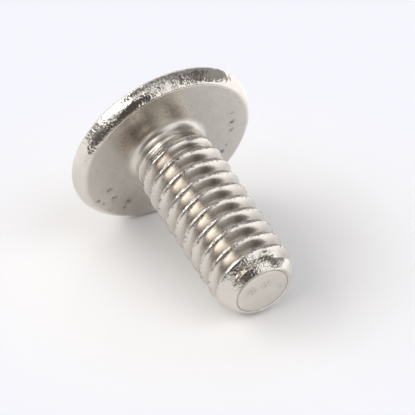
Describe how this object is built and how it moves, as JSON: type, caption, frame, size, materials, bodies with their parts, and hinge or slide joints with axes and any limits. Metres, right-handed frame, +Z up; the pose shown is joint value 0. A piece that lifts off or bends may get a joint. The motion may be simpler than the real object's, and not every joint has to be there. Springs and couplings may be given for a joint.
{
  "type": "truss head screw",
  "caption": "Machine screw with a low wide domed truss head, a cross recess and a coarse right-hand thread, lying on its rim and tip.",
  "frame": {"origin": "centre of the bearing face, under the head", "axes": "+Z up; the shank points along +X and slopes down to its tip by 15.9 degrees, as the screw lies"},
  "size_m": [0.0187, 0.0146, 0.014],
  "materials": {
    "nickel": "bright nickel plate, satin under the head, rough on the rim"
  },
  "bodies": {
    "root": {"screw": "nickel"}
  },
  "joints": []
}
